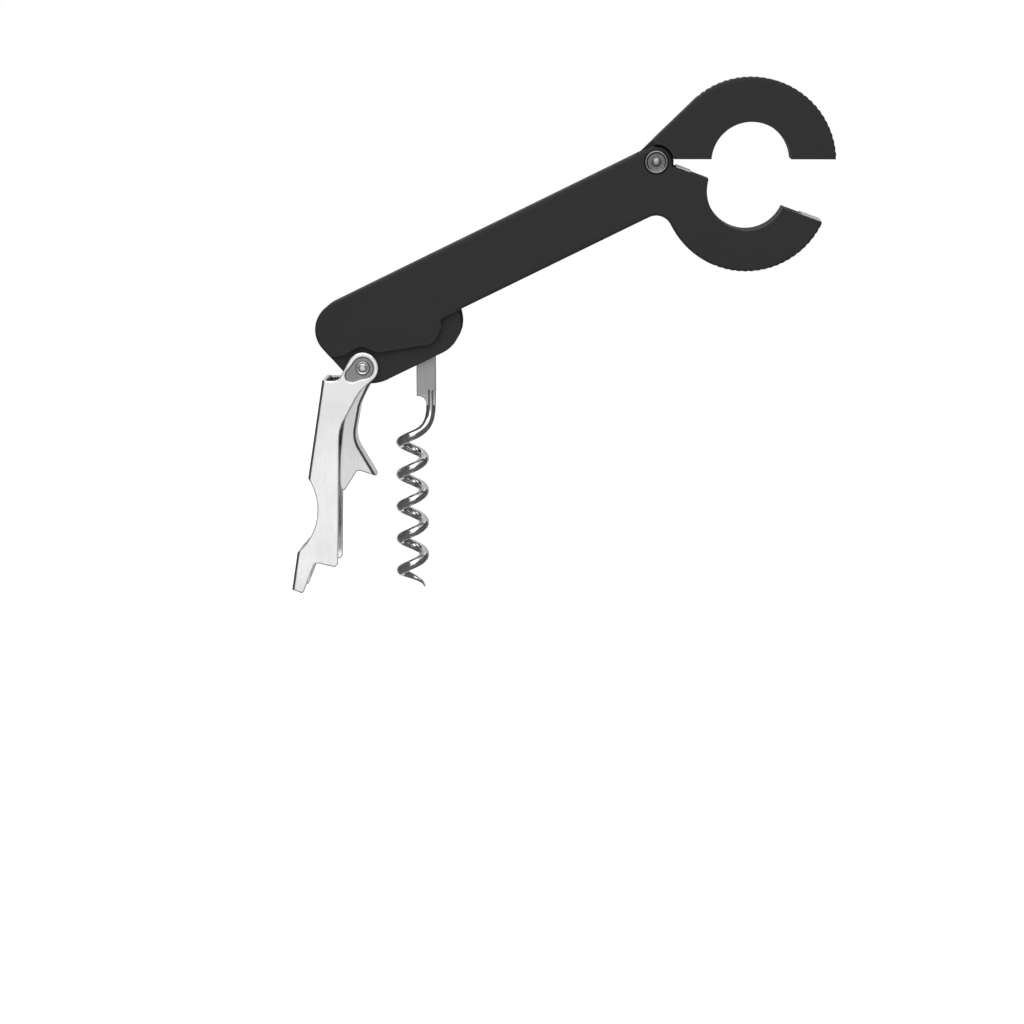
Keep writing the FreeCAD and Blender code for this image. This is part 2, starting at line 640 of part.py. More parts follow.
def jaw_shell():
    """Front half of the moving jaw, with its half of the tongue."""
    piece = body("jaw_front_shell", "jaw")
    page = sketch(piece)
    half_ring(page, *moving_ring("0", "moving_flat"))
    pad(piece, page, "half")
    page = sketch(piece)
    outline(page, neck("0", "moving_flat"))
    pad(piece, page, "half")
    soften(piece, "edge_round", face_edge(piece, "-half", "moving_rim_reach", "rim_root"))
    page = sketch(piece)
    ring(page, "eye_radius")
    pad(piece, page, "tongue_width / 2")
    # clear of the handle's ear
    page = sketch(piece, height="tongue_width / 2")
    ring(page, "ear_radius + 0.55")
    cut(piece, page, "half")
    page = sketch(piece, height="tongue_width / 2")
    outline(page, [("-0.9", "-1"), ("-0.9", "9"), ("-9", "9"), ("-9", "-1")])
    cut(piece, page, "half")
    # seat of the core
    page = sketch(piece)
    half_ring(page, *moving_ring("wall", "moving_flat"))
    cut(piece, page, "core_width / 2")
    page = sketch(piece)
    outline(page, neck("wall", "moving_flat"))
    cut(piece, page, "core_width / 2")
    page = sketch(piece)
    ring(page, "eye_radius - wall + fit_gap")
    cut(piece, page, "core_width / 2")
    # the fixed jaw's lands drop in here
    for first, last in LANDS:
        page = sketch(piece)
        outline(page, [(f"{first} - 0.4", "0"), (f"{last} + 0.5", "0"),
                       (f"{last} + 0.5", "moving_flat + 0.55"), (f"{first} - 0.4", "moving_flat + 0.55")])
        cut(piece, page, "plate_out + 0.15")
    page = sketch(piece)
    ring(page, "jaw_rivet_radius + fit_gap")
    cut(piece, page, "half")
    page = sketch(piece)
    for x, z in moving_pins():
        ring(page, "pin_radius + fit_gap / 2", x, z)
    cut(piece, page, "plate_out + 1.2")
    knurl(piece, ("moving_rim_reach", "moving_rim_rise"), "moving_knurl_start", "moving_knurl_span", False)
    return piece


def jaw_core_plate():
    """Steel core of the moving jaw, from its rivet eye round to the tip."""
    piece = body("jaw_core", "jaw")
    inset = "(wall + fit_gap)"
    page = sketch(piece)
    half_ring(page, *moving_ring(inset, "moving_flat + 0.55"))
    pad(piece, page, "core_width - 0.1", middle=True)
    page = sketch(piece)
    outline(page, neck(inset, "moving_flat + 0.55"))
    pad(piece, page, "core_width - 0.1", middle=True)
    page = sketch(piece)
    ring(page, "eye_radius - wall")
    pad(piece, page, "core_width - 0.1", middle=True)
    page = sketch(piece)
    ring(page, "jaw_rivet_radius + fit_gap")
    for x, z in moving_pins():
        ring(page, "pin_radius + fit_gap / 2", x, z)
    cut(piece, page, "core_width + 2", middle=True)
    return piece


jaw_front_shell = jaw_shell()
jaw_back_shell = mirrored("jaw_back_shell", jaw_front_shell)
jaw_core = jaw_core_plate()
jaw_pins_node = pin("jaw_pins", "jaw", "pin_radius", "plate_out + 1.1", moving_pins())


# ------------------------------------------------------------------ the levers

def channel_lever(name, width, gauge, ear, corners, hollow):
    """A lever folded from sheet: two plates with an ear each, and a web along one side."""
    piece = body(name, "lever")
    page = sketch(piece)
    outline(page, corners)
    pad(piece, page, width, middle=True)
    page = sketch(piece)
    ring(page, ear)
    pad(piece, page, width, middle=True)
    page = sketch(piece)
    outline(page, hollow)
    cut(piece, page, f"{width} - 2 * {gauge}", middle=True)
    page = sketch(piece)
    ring(page, "lever_rivet_radius + fit_gap")
    cut(piece, page, f"{width} + 2", middle=True)
    return piece


def fold(piece, width, radius, runs):
    """Round the folds of a channel at both plates, along each run of the web's outer edge."""
    for side in (1, -1):
        for x, z in runs:
            soften(piece, radius, face_edge(piece, f"{side} * {width} / 2", x, z))


boot_lever = channel_lever("boot_lever", "boot_width", "boot_gauge", "boot_ear_radius", [
    ("-0.883 * boot_ear_radius", "0.469 * boot_ear_radius"), ("-7", "-3.7", "2.5"),
    ("-10.3", "-3.7", "0.8"), ("-10.66", "-3.37"), ("-11.49", "-3.67"), ("-20.5", "-63.1"),
    ("-17.3", "-64.3", "0.8"), ("-13.9", "-55.4", "1.2"), ("-7.35", "-56.8", "1.2"),
    ("-6.8", "-17.4", "11"), ("-1.2", "-6.9", "12"),
    ("0.669 * boot_ear_radius", "-0.743 * boot_ear_radius"),
], [
    ("-11.35 + boot_gauge", "8"), ("-11.35 + boot_gauge", "-2.75"), ("-20.5 + boot_gauge", "-63.1"),
    ("-20.5 + boot_gauge", "-70"), ("8", "-70"), ("8", "8"),
])
page = sketch(boot_lever)
ring(page, "opener_radius", "-29.25", "-40.1")
cut(boot_lever, page, "boot_width + 2", middle=True)
fold(boot_lever, "boot_width", "0.8 * boot_gauge", [("-13.5", "-17"), ("-20", "-60")])
for level, reach in (("boot_width / 2 - recess_depth", "1"), ("-boot_width / 2", "recess_depth")):
    page = sketch(boot_lever, height=level)
    ring(page, "recess_radius")
    cut(boot_lever, page, reach)
    page = sketch(boot_lever, height=level)
    outline(page, [("0", "0"), ("-1.75", "2.56"), ("-4.13", "-0.4"), ("-1.87", "-3.7"), ("1.75", "-2.56")])
    cut(boot_lever, page, reach)
    page = sketch(boot_lever, height=level)
    ring(page, "recess_tail_radius", "-3", "-2.05")
    cut(boot_lever, page, reach)

first_step_lever = channel_lever("first_step_lever", "step_width", "step_gauge", "step_ear_radius", [
    ("-0.97 * step_ear_radius", "0.2 * step_ear_radius"), ("-7.7", "-31.5", "1.5"),
    ("-6.2", "-36.2", "0.8"), ("-1.9", "-29.3", "1.2"), ("3.4", "-31"),
    ("-2.8", "-20.5", "8"), ("-1.1", "-10.8", "8"), ("0.69 * step_ear_radius", "-0.72 * step_ear_radius"),
], [
    ("-12", "8"), ("-12", "-40"), ("1.6 - step_gauge", "-40"), ("3.2 - step_gauge", "-31.2"),
    ("-2.85 - step_gauge", "-20.7", "8"), ("-1.15 - step_gauge", "-10.8", "8"), ("1.5 - step_gauge", "-5.2"),
    ("8", "-5.2"), ("8", "8"),
])
fold(first_step_lever, "step_width", "0.8 * step_gauge", [("-1.9", "-15")])


# ------------------------------------------------------------------ the worm

def worm_wire():
    """Round wire: down from the shank, forwards on to the coil, round it, and out to a point."""
    radius, coil, pitch = size("wire_radius"), size("coil_radius"), size("worm_pitch")
    turns, tip_turns, top, top_angle = size("worm_turns"), 0.5, 1.0, math.radians(-66)
    pull = 1.3 * pitch
    shank_x = size("shank_right") - radius
    bottom = top - turns * pitch

    def on_coil(height):
        angle = top_angle + (height - top) / pitch * 2 * math.pi
        spot = Vector(coil * math.cos(angle), coil * math.sin(angle), height)
        run = Vector(-coil * math.sin(angle), coil * math.cos(angle), pitch / (2 * math.pi))
        return spot, run.normalize()

    def coil_run(low, high):
        run = Part.makeHelix(pitch, high - low, coil)
        angle = top_angle + (low - top) / pitch * 2 * math.pi
        run.Placement = FreeCAD.Placement(Vector(0, 0, low),
                                          FreeCAD.Rotation(Vector(0, 0, 1), math.degrees(angle)))
        return run

    def section(spot, run, width):
        return Part.Wire([Part.makeCircle(width, spot, run)])

    tip_start = bottom + tip_turns * pitch
    start = Vector(shank_x, 0, size("shank_foot + 2"))
    bend = Vector(shank_x, 0, size("shank_foot - bend_drop"))
    end, run = on_coil(top)
    curve = Part.BSplineCurve()
    curve.interpolate(Points=[bend, end], InitialTangent=Vector(0, 0, -pull), FinalTangent=run * -pull)
    lead = Part.Wire([Part.LineSegment(start, bend).toShape(), curve.toShape()])
    down = Vector(0, 0, -1)
    lead_in = lead.makePipeShell([section(start, down, radius)], True, False)
    middle, middle_run = on_coil(tip_start)
    body_of_coil = Part.Wire(coil_run(tip_start, top)).makePipeShell(
        [section(middle, middle_run, radius)], True, True)
    low, low_run = on_coil(bottom)
    point = Part.Wire(coil_run(bottom, tip_start)).makePipeShell(
        [section(low, low_run, 0.2 * radius), section(middle, middle_run, radius)], True, True)
    return lead_in, body_of_coil, point


worm_head = body("worm_head", "world")
page = sketch(worm_head)
outline(page, [
    ("shank_right", "shank_foot - 2.6"), ("shank_right", "worm_pin_z + 2.4", "1.5"),
    ("worm_pin_x", "worm_pin_z + 2.9", "2"), ("worm_pin_x - 2.7", "worm_pin_z + 2.8", "2.3"),
    ("worm_pin_x - 2.6", "worm_pin_z - 3.3", "2.3"),
    ("shank_right - shank_width", "worm_pin_z - 5.4", "1.5"),
    ("shank_right - shank_width", "shank_foot", "0.3"),
    ("shank_right - 2 * wire_radius + 0.1", "shank_foot - 0.1", "2.1"),
    ("shank_right - 2 * wire_radius + 0.1", "shank_foot - 2.6"),
])
pad(worm_head, page, "shank_thick", middle=True)
page = sketch(worm_head)
ring(page, "worm_pin_radius + fit_gap", "worm_pin_x", "worm_pin_z")
cut(worm_head, page, "shank_thick + 2", middle=True)
wire_pieces = []
for number, shape in enumerate(worm_wire(), start=1):
    length = doc.addObject("Part::Feature", f"worm_wire_{number}")
    length.Shape = shape
    wire_pieces.append(length)
worm = doc.addObject("Part::MultiFuse", "worm")
worm.Shapes = [worm_head] + wire_pieces
worm.Refine = True
worm.Label = "worm"
doc.recompute()


# ------------------------------------------------------------------ check and export

NODES = [
    front_shell, back_shell, front_frame_plate, back_frame_plate, fixed_jaw_core, frame_spacers,
    shell_pins, lever_rivet, worm_pin, worm_bushes, jaw_rivet, jaw_washers, first_step_washers,
    jaw_front_shell, jaw_back_shell, jaw_core, jaw_pins_node, boot_lever, first_step_lever, worm,
]

for item in doc.Objects:
    if "Invalid" in item.State or "Error" in item.State:
        raise RuntimeError(f"{item.Label} failed: {item.State}")
for node in NODES:
    if node.Shape.isNull() or not node.Shape.isValid() or not node.Shape.Solids:
        raise RuntimeError(f"{node.Label} has no sound shape")
os.makedirs("parts", exist_ok=True)
for node in NODES:
    node.Shape.exportStep(f"parts/{node.Label}.step")
    box = node.Shape.BoundBox
    print(f"{node.Label:20s} {len(node.Shape.Solids):2d} solids {node.Shape.Volume:9.1f} mm3  "
          f"x {box.XMin:7.2f} {box.XMax:7.2f}  y {box.YMin:6.2f} {box.YMax:6.2f}  "
          f"z {box.ZMin:7.2f} {box.ZMax:7.2f}")
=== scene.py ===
"""Dresses the waiter's corkscrew: finishes for its pieces, two turned rivets, and a studio.

Lengths are in metres and angles in radians. X runs towards the cork pliers, Y from the front
shell to the back one, and Z up the bottle's axis.
"""
import json
import math

import bmesh
import bpy
import numpy as np
from bpy.props import FloatProperty, FloatVectorProperty, PointerProperty
from bpy.types import Operator, Panel, PropertyGroup
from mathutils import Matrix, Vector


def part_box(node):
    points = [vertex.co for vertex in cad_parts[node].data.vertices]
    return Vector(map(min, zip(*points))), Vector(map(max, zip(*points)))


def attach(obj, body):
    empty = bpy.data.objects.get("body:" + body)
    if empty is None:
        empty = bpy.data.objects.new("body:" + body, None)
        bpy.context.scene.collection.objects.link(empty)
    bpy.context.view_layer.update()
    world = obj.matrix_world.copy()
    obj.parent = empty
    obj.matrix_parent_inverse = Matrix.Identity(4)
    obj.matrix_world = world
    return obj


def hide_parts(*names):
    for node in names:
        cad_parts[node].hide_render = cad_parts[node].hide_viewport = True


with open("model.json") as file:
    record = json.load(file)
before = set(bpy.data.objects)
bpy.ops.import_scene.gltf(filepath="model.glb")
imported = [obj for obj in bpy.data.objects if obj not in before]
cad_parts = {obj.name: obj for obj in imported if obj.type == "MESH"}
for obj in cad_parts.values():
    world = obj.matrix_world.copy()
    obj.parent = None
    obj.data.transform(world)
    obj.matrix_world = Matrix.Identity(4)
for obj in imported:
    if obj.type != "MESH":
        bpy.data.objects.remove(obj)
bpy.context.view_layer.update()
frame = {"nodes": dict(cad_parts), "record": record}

bl_info = {
    "name": "Waiter's corkscrew",
    "version": (1, 0, 0),
    "blender": (4, 5, 0),
    "location": "View3D > Sidebar > Corkscrew",
    "description": "Finishes, rivet heads and studio for a waiter's corkscrew with cork pliers",
    "category": "Object",
}

JOINTS = {joint["name"]: joint for joint in frame["record"]["behaviour"]["joints"]}
LEVER_PIVOT = np.array(JOINTS["boot_lever_fold"]["pos_m"])
JAW_PIVOT = np.array(JOINTS["jaw_hinge"]["pos_m"])
HANDLE_TILT = math.radians(26.1)    # the handle's rise above the horizontal
BOOT_LEAN = math.radians(8.6)       # the outer lever's lean from the vertical
STEP_LEAN = math.radians(4.0)       # the inner lever's lean from the vertical
RECESS_EDGE = (0.0056, 0.0060)      # where the pressed recess ends, from the lever pivot
FACE_DEPTH = (0.00025, 0.00005)     # under the outer face: surely sunk, and surely not
FOOT_BLEND = (0.0055, 0.0010)       # the ground finish fades from below to above the shank's foot
SHANK_FOOT = 0.0114                 # height at which the flat shank turns into wire
RING_TURNS = 42000.0                # turning marks on the rivets, in radians for a metre


# ------------------------------------------------------------------ settings

class RivetSizes(PropertyGroup):
    """Sizes of the two turned rivets"""
    lever_head: FloatProperty(
        name="Lever rivet head", description="Radius of the lever rivet's head",
        default=0.0020, min=0.001, unit="LENGTH", precision=5)
    lever_reach: FloatProperty(
        name="Lever rivet reach", description="Lever rivet's face from the mid-plane",
        default=0.0090, min=0.005, unit="LENGTH", precision=5)
    lever_shank: FloatProperty(
        name="Lever rivet shank", description="Radius of the lever rivet's shank",
        default=0.0015, min=0.0005, unit="LENGTH", precision=5)
    jaw_head: FloatProperty(
        name="Jaw rivet head", description="Radius of the jaw rivet's head",
        default=0.00325, min=0.001, unit="LENGTH", precision=5)
    jaw_reach: FloatProperty(
        name="Jaw rivet reach", description="Jaw rivet's face from the mid-plane",
        default=0.0086, min=0.005, unit="LENGTH", precision=5)
    jaw_shank: FloatProperty(
        name="Jaw rivet shank", description="Radius of the jaw rivet's shank",
        default=0.0018, min=0.0005, unit="LENGTH", precision=5)


class Finishes(PropertyGroup):
    """Colours of the finishes"""
    moulded: FloatVectorProperty(
        name="Moulded black", description="Colour of the soft-touch shells",
        subtype="COLOR", size=3, default=(0.0255, 0.0255, 0.0260), min=0, max=1)
    moulded_gloss: FloatProperty(
        name="Shell roughness", description="Roughness of the soft-touch shells",
        subtype="FACTOR", default=0.60, min=0, max=1)
    sheet: FloatVectorProperty(
        name="Polished sheet", description="Colour of the polished levers",
        subtype="COLOR", size=3, default=(0.76, 0.76, 0.76), min=0, max=1)
    satin: FloatVectorProperty(
        name="Satin steel", description="Colour of the frame plates, jaw cores and pins",
        subtype="COLOR", size=3, default=(0.48, 0.48, 0.49), min=0, max=1)
    wire: FloatVectorProperty(
        name="Worm steel", description="Colour of the worm's shank and wire",
        subtype="COLOR", size=3, default=(0.58, 0.58, 0.585), min=0, max=1)
    rivet: FloatVectorProperty(
        name="Rivet steel", description="Colour of the turned rivets",
        subtype="COLOR", size=3, default=(0.42, 0.42, 0.43), min=0, max=1)
    nylon: FloatVectorProperty(
        name="Nylon", description="Colour of washers and bushes",
        subtype="COLOR", size=3, default=(0.60, 0.58, 0.52), min=0, max=1)


class Studio(PropertyGroup):
    """Camera, lights and floor"""
    distance: FloatProperty(
        name="Camera distance", description="Camera to the tool's mid-plane",
        default=0.95, min=0.2, unit="LENGTH")
    pitch: FloatProperty(
        name="Camera pitch", description="How far the camera looks down",
        default=math.radians(8.0), unit="ROTATION")
    yaw: FloatProperty(
        name="Camera yaw", description="How far the camera looks to the left",
        default=math.radians(2.0), unit="ROTATION")
    key: FloatProperty(
        name="Key light", description="Power of the large soft light",
        default=6.5, min=0, unit="POWER")
    glow: FloatProperty(
        name="Floor white", description="White that the floor adds where it is seen or mirrored",
        default=0.62, min=0, max=1)
    fill: FloatProperty(
        name="Ambient", description="Strength of the white surroundings on the object",
        default=0.62, min=0)
    floor: FloatProperty(
        name="Floor", description="Floor's level, measured up from the origin",
        default=-0.30, unit="LENGTH")


# ------------------------------------------------------------------ materials

class Finish:
    """A material whose pattern is fixed to the object in metres."""

    def __init__(self, name, colour, metallic, roughness):
        self.material = bpy.data.materials.new(name)
        self.material.use_nodes = True
        self.tree = self.material.node_tree
        self.shader = self.tree.nodes["Principled BSDF"]
        self.shader.inputs["Base Color"].default_value = (*colour, 1)
        self.shader.inputs["Metallic"].default_value = metallic
        self.shader.inputs["Roughness"].default_value = roughness
        self.space = self.node("ShaderNodeTexCoord").outputs["Object"]
        self.material.diffuse_color = (*colour, 1)

    def node(self, kind, **settings):
        """A new node of a kind, with its settings."""
        made = self.tree.nodes.new(kind)
        for key, value in settings.items():
            setattr(made, key, value)
        return made

    def join(self, source, target):
        self.tree.links.new(source, target)

    def placed(self, centre=(0, 0, 0), turn=0.0, stretch=(1, 1, 1)):
        """Object coordinates moved to a centre, turned about Y and stretched."""
        shift = self.node("ShaderNodeMapping", vector_type="TEXTURE")
        shift.inputs["Location"].default_value = centre
        shift.inputs["Rotation"].default_value = (0, turn, 0)
        self.join(self.space, shift.inputs["Vector"])
        scale = self.node("ShaderNodeMapping")
        scale.inputs["Scale"].default_value = stretch
        self.join(shift.outputs[0], scale.inputs["Vector"])
        return scale.outputs[0]

    def noise(self, scale, detail=3.0, vector=None):
        """Soft noise on the object's coordinates, or on others."""
        made = self.node("ShaderNodeTexNoise")
        made.inputs["Scale"].default_value = scale
        made.inputs["Detail"].default_value = detail
        self.join(vector or self.space, made.inputs["Vector"])
        return made.outputs["Fac"]

    def ranged(self, value, low, high, start=0.35, end=0.65):
        """A value carried from one span to another and held at its ends."""
        made = self.node("ShaderNodeMapRange")
        spans = {"From Min": start, "From Max": end, "To Min": low, "To Max": high}
        for socket, number in spans.items():
            made.inputs[socket].default_value = number
        self.join(value, made.inputs["Value"])
        return made.outputs[0]

    def tint(self, value, dark, light):
        """Base colour between two colours by a value from 0 to 1."""
        made = self.node("ShaderNodeMix", data_type="RGBA")
        made.inputs["A"].default_value = (*dark, 1)
        made.inputs["B"].default_value = (*light, 1)
        self.join(value, made.inputs["Factor"])
        self.join(made.outputs["Result"], self.shader.inputs["Base Color"])

    def rough(self, value):
        self.join(value, self.shader.inputs["Roughness"])

    def bump(self, height, depth, strength=1.0, edge=0.0):
        """Relief from a height. A radius also softens how the edges catch the light."""
        made = self.node("ShaderNodeBump")
        made.inputs["Strength"].default_value = strength
        made.inputs["Distance"].default_value = depth
        self.join(height, made.inputs["Height"])
        if edge:
            broken = self.node("ShaderNodeBevel", samples=6)
            broken.inputs["Radius"].default_value = edge
            self.join(broken.outputs[0], made.inputs["Normal"])
        self.join(made.outputs[0], self.shader.inputs["Normal"])

    def axis(self, name):
        """One object coordinate, in metres."""
        split = self.node("ShaderNodeSeparateXYZ")
        self.join(self.space, split.inputs[0])
        return split.outputs[name]

    def maths(self, kind, first, second=None):
        """One sum on values or plain numbers."""
        made = self.node("ShaderNodeMath", operation=kind)
        for socket, value in zip(made.inputs, (first, second)):
            if isinstance(value, float):
                socket.default_value = value
            elif value is not None:
                self.join(value, socket)
        return made.outputs[0]

    def blended(self, share, first, second):
        """A value that runs from the first to the second as the share runs from 0 to 1."""
        made = self.node("ShaderNodeMix", data_type="FLOAT")
        for socket, value in ((0, share), (2, first), (3, second)):
            self.join(value, made.inputs[socket])
        return made.outputs[0]

    def distance(self, centre):
        """Distance from an axis along Y, in metres."""
        reach = self.node("ShaderNodeVectorMath", operation="LENGTH")
        self.join(self.placed(centre, 0.0, (1.0, 0.0, 1.0)), reach.inputs[0])
        return reach.outputs["Value"]


def scaled(colour, factor):
    """A colour made lighter or darker, and held at white."""
    return tuple(min(1.0, channel * factor) for channel in colour)


def moulded_black(settings):
    """Soft-touch moulding: fine grain, faint clouding, and a few pale rubbed hairlines."""
    finish = Finish("soft_touch_black", settings.moulded, 0.0, settings.moulded_gloss)
    finish.shader.inputs["Specular IOR Level"].default_value = 0.12
    smear = finish.ranged(finish.noise(900.0, 6.0), 0, 1, 0.66, 0.76)
    patch = finish.ranged(finish.noise(48.0, 2.0), 0, 1, 0.58, 0.68)
    rubbed = finish.maths("MULTIPLY", smear, patch)
    finish.tint(rubbed, settings.moulded, scaled(settings.moulded, 1.5))
    gloss = settings.moulded_gloss
    finish.rough(finish.ranged(finish.noise(70.0, 3.0), gloss - 0.03, gloss + 0.04))
    finish.bump(finish.noise(7000.0, 2.0), 0.00002, 0.25, edge=0.0002)
    return finish.material


def polished_sheet(name, colour, turn, face):
    """Polished sheet: hair-fine rubbing along its length, and painted shade in two places.

    The pressed recess is dull, and its colour is painted darker as shade, where a point lies both
    under the outer face and near the pivot.
    The folds are painted darker, as shade, where the surface's own normal points halfway
    between the plates and the web.
    """
    finish = Finish(name, colour, 1.0, 0.17)
    hair = finish.noise(1.0, 3.0, finish.placed(LEVER_PIVOT, turn, (9000.0, 9000.0, 260.0)))
    depth = finish.maths("ABSOLUTE", finish.axis("Y"))
    sunk = finish.ranged(depth, 1, 0, face - FACE_DEPTH[0], face - FACE_DEPTH[1])
    near = finish.ranged(finish.distance(LEVER_PIVOT), 1, 0, *RECESS_EDGE)
    # The recess mask: dull roughness, and painted shade in the colour.
    recess = finish.maths("MULTIPLY", sunk, near)
    # Painted shade on the folds, standing in for the dark cards that they mirror.
    normal = finish.node("ShaderNodeSeparateXYZ")
    finish.join(finish.node("ShaderNodeTexCoord").outputs["Normal"], normal.inputs[0])
    across = finish.maths("ABSOLUTE", normal.outputs["Y"])
    rising = finish.ranged(across, 0, 1, 0.25, 0.50)
    falling = finish.ranged(across, 1, 0, 0.975, 0.997)
    painted_fold_shade = finish.maths("MULTIPLY", finish.maths("MULTIPLY", rising, falling), 0.75)
    # Painted shade: the recess and the folds pull the colour towards its dark end.
    unshaded = finish.maths("MULTIPLY", finish.maths("SUBTRACT", 1.0, recess),
                          finish.maths("SUBTRACT", 1.0, painted_fold_shade))
    # This clouding also carries the painted shade of the recess and the folds.
    cloud = finish.maths("MULTIPLY", unshaded, finish.ranged(finish.noise(48.0, 2.0), 0.78, 1.0))
    finish.tint(cloud, scaled(colour, 0.34), scaled(colour, 1.06))
    bright_rough, dull_rough = finish.ranged(hair, 0.10, 0.20), finish.ranged(hair, 0.30, 0.44)
    finish.rough(finish.blended(recess, bright_rough, dull_rough))
    finish.bump(hair, 0.000003, 0.4, edge=0.0006)
    return finish.material


def worm_steel(colour, foot):
    """A flat shank ground along its length, and a polished wire below the shank's foot."""
    finish = Finish("worm_steel", colour, 1.0, 0.2)
    grain = finish.noise(1.0, 4.0, finish.placed((0, 0, 0), 0.0, (7000.0, 7000.0, 300.0)))
    shank = finish.ranged(finish.axis("Z"), 0, 1, foot - FOOT_BLEND[0], foot + FOOT_BLEND[1])
    cloud = finish.blended(shank, finish.ranged(finish.noise(500.0), 0.85, 1.0),
                           finish.ranged(grain, 0.0, 0.28))
    finish.tint(cloud, scaled(colour, 0.50), scaled(colour, 1.10))
    finish.rough(finish.blended(shank, finish.ranged(grain, 0.08, 0.14),
                                finish.ranged(grain, 0.30, 0.46)))
    finish.bump(grain, 0.000006, 0.4, edge=0.0004)
    return finish.material


def satin_steel(name, colour, turn, roughness=0.34):
    """Ground steel: short scratches one way, cloudy roughness."""
    finish = Finish(name, colour, 1.0, roughness)
    hair = finish.noise(1.0, 4.0, finish.placed((0, 0, 0), turn, (260.0, 7000.0, 7000.0)))
    cloud = finish.ranged(finish.noise(300.0, 3.0), 0, 1)
    finish.tint(cloud, scaled(colour, 0.85), scaled(colour, 1.1))
    finish.rough(finish.ranged(hair, roughness - 0.08, roughness + 0.10, 0.3, 0.7))
    finish.bump(hair, 0.00001, 0.5, edge=0.00025)
    return finish.material


def turned_steel(name, colour, centre, roughness, painted_rings):
    """Turned steel: rings about the rivet's axis; light and shade painted at (reach, shade) stops.
    """
    finish = Finish(name, colour, 1.0, roughness)
    reach = finish.distance(centre)
    waves = finish.maths("SINE", finish.maths("MULTIPLY", reach, RING_TURNS))
    widest = painted_rings[-1][0]
    # Painted reflection: the ramp lightens and darkens the colour ring by ring.
    ramp = finish.node("ShaderNodeValToRGB")
    stops = ramp.color_ramp.elements
    while len(stops) < len(painted_rings):
        stops.new(0.5)
    for stop, (place, shade) in zip(stops, painted_rings):
        stop.position = place / widest
        stop.color = (*scaled(colour, shade), 1)
    finish.join(finish.maths("DIVIDE", reach, widest), ramp.inputs["Fac"])
    cloud = finish.node("ShaderNodeMix", data_type="RGBA", blend_type="MULTIPLY")
    cloud.inputs["Factor"].default_value = 1.0
    finish.join(ramp.outputs["Color"], cloud.inputs["A"])
    finish.join(finish.ranged(finish.noise(1400.0), 0.86, 1.0), cloud.inputs["B"])
    finish.join(cloud.outputs["Result"], finish.shader.inputs["Base Color"])
    finish.rough(finish.ranged(waves, roughness - 0.04, roughness + 0.08, -1, 1))
    finish.bump(waves, 0.000006, 0.35)
    return finish.material


def natural_nylon(colour):
    """Natural nylon: milky and slightly glossy."""
    finish = Finish("natural_nylon", colour, 0.0, 0.38)
    finish.shader.inputs["Subsurface Weight"].default_value = 0.15
    finish.shader.inputs["Subsurface Radius"].default_value = (0.0006, 0.0005, 0.0004)
    cloud = finish.ranged(finish.noise(700.0), 0, 1)
    finish.tint(cloud, scaled(colour, 0.93), scaled(colour, 1.05))
    finish.rough(finish.ranged(finish.noise(2400.0), 0.33, 0.45))
    finish.bump(finish.noise(5200.0), 0.000008, 0.4)
    return finish.material


def dress(material, *names):
    """Puts one finish on CAD nodes."""
    for name in names:
        mesh = frame["nodes"][name].data
        mesh.materials.clear()
        mesh.materials.append(material)


# ------------------------------------------------------------------ surfaces

def skinned(name, grid, material, body):
    """A closed mesh over a grid of points whose second direction runs round and joins up."""
    rows, columns = grid.shape[:2]
    row, column = np.meshgrid(np.arange(rows - 1), np.arange(columns), indexing="ij")
    after = (column + 1) % columns
    quads = np.stack([row * columns + column, (row + 1) * columns + column,
                      (row + 1) * columns + after, row * columns + after], axis=-1).reshape(-1, 4)
    mesh = bpy.data.meshes.new(name)
    mesh.from_pydata(grid.reshape(-1, 3).tolist(), [], quads.tolist())
    work = bmesh.new()
    work.from_mesh(mesh)
    bmesh.ops.remove_doubles(work, verts=work.verts, dist=1e-7)
    bmesh.ops.recalc_face_normals(work, faces=work.faces)
    work.to_mesh(mesh)
    work.free()
    mesh.shade_smooth()
    mesh.materials.append(material)
    piece = bpy.data.objects.new(name, mesh)
    bpy.context.scene.collection.objects.link(piece)
    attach(piece, body)
    return piece


def turned_rivet(centre, reach, head, shank, relief, depth=0.00055, steps=96):
    """Points of a rivet turned about Y: across the face, down the rim, along the shank and back.

    The face's height is its reach less the relief at that share of the radius. The rim is
    rounded by a quarter circle, and the second half is the first with the sign of Y changed.
    """
    share = np.linspace(0.0, 1.0, 42)
    edge = 0.10 * head
    face_r = share * (head - edge)
    face_y = reach - relief(face_r / head)
    corner = np.linspace(0.0, math.pi / 2, 9)[1:]
    corner_r = head - edge + edge * np.sin(corner)
    corner_y = face_y[-1] - edge * (1 - np.cos(corner))
    under = reach - depth
    radius = np.concatenate([face_r, corner_r, [head, shank, shank]])
    height = np.concatenate([face_y, corner_y, [under, under, 0.0]])
    radius = np.concatenate([radius, radius[-2::-1]])
    height = np.concatenate([height, -height[-2::-1]])
    angle = np.linspace(0, 2 * math.pi, steps, endpoint=False)
    x = centre[0] + radius[:, None] * np.cos(angle)
    z = centre[2] + radius[:, None] * np.sin(angle)
    y = np.broadcast_to(-height[:, None], x.shape)
    return np.stack([x, y, z], axis=-1)


# ------------------------------------------------------------------ pieces

class CORKSCREW_OT_shells(Operator):
    """Finishes the moulded shells of the handle and of the moving jaw"""
    bl_idname = "corkscrew.shells"
    bl_label = "Moulded shells"

    def execute(self, context):
        black = moulded_black(context.scene.corkscrew_finishes)
        dress(black, "front_shell", "back_shell", "jaw_front_shell", "jaw_back_shell")
        return {"FINISHED"}


